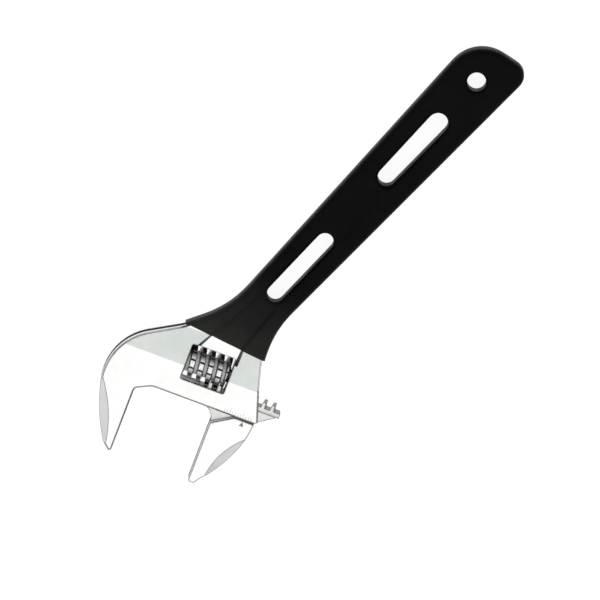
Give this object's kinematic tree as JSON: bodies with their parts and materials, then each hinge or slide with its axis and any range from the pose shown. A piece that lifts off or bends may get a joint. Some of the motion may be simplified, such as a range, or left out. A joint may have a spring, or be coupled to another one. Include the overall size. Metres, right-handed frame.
{
  "type": "adjustable wrench",
  "caption": "Adjustable wrench: a forged head with a fixed jaw, a sliding jaw driven by a thumb worm, and a black dipped grip with long slots and a hang hole.",
  "frame": {"origin": "centre of the hang hole at mid thickness", "axes": "+X along the handle to the head, +Y towards the moving jaw's side, +Z square to the flat faces"},
  "size_m": [0.2023, 0.06, 0.0126],
  "materials": {
    "chrome_steel": "satin chrome plate",
    "jaw_chrome": "satin chrome plate",
    "worm_steel": "turned steel, bright lands and dark roots",
    "pin_steel": "plain ground steel",
    "spring_steel": "oiled spring wire",
    "grip_vinyl": "satin dipped vinyl with a fine texture"
  },
  "bodies": {
    "frame": {"wrench_body": "chrome_steel", "worm_pin": "pin_steel", "worm_spring": "spring_steel", "grip": "grip_vinyl"},
    "jaw": {"movable_jaw": "jaw_chrome"},
    "worm_screw": {"worm": "worm_steel"}
  },
  "joints": [
    {"name": "jaw_slide", "type": "slide", "parent": "frame", "child": "jaw", "axis": [-0.3827, 0.9239, 0], "range_m": [-0.0294, 0.002]},
    {"name": "worm_spin", "type": "hinge", "parent": "frame", "child": "worm_screw", "pos_m": [0.14166, 0.00088, 0], "axis": [-0.3827, 0.9239, 0], "range_deg": [-215, 3118]}
  ],
  "couplings": [
    {"joint": "worm_spin", "follows": "jaw_slide", "rad_per_m": -1848}
  ]
}
